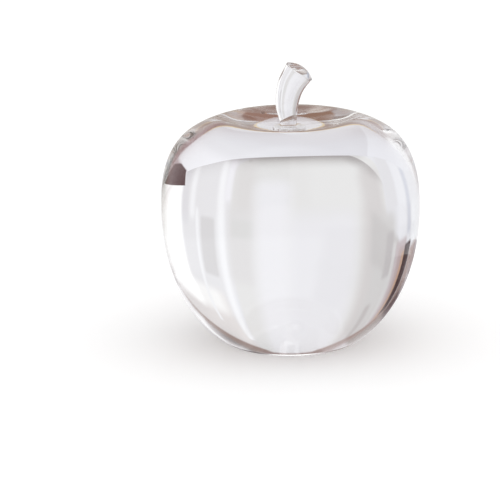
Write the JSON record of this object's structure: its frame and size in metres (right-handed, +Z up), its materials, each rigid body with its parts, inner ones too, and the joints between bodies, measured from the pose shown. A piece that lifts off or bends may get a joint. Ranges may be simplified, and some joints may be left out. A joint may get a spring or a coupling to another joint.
{
  "type": "glass apple ornament",
  "caption": "Solid clear crystal apple with a bent tapered glass stem bonded into the dimple of its crown, standing on a polished flat base.",
  "frame": {"origin": "centre of the flat base that the apple stands on", "axes": "+Z up along the apple's axis; the stem's upper end leans towards +X; the picture looks along +Y"},
  "size_m": [0.1, 0.1, 0.1084],
  "materials": {
    "body_glass": "clear optical crystal, fire polished and buffed, with a polished flat base",
    "stem_glass": "clear drawn crystal rod with a fire polished, domed end",
    "clear_resin": "clear cured resin, glossy, with a few trapped bubbles"
  },
  "bodies": {
    "root": {"apple_body": "body_glass", "stem": "stem_glass", "bond_bead": "clear_resin"}
  },
  "joints": []
}
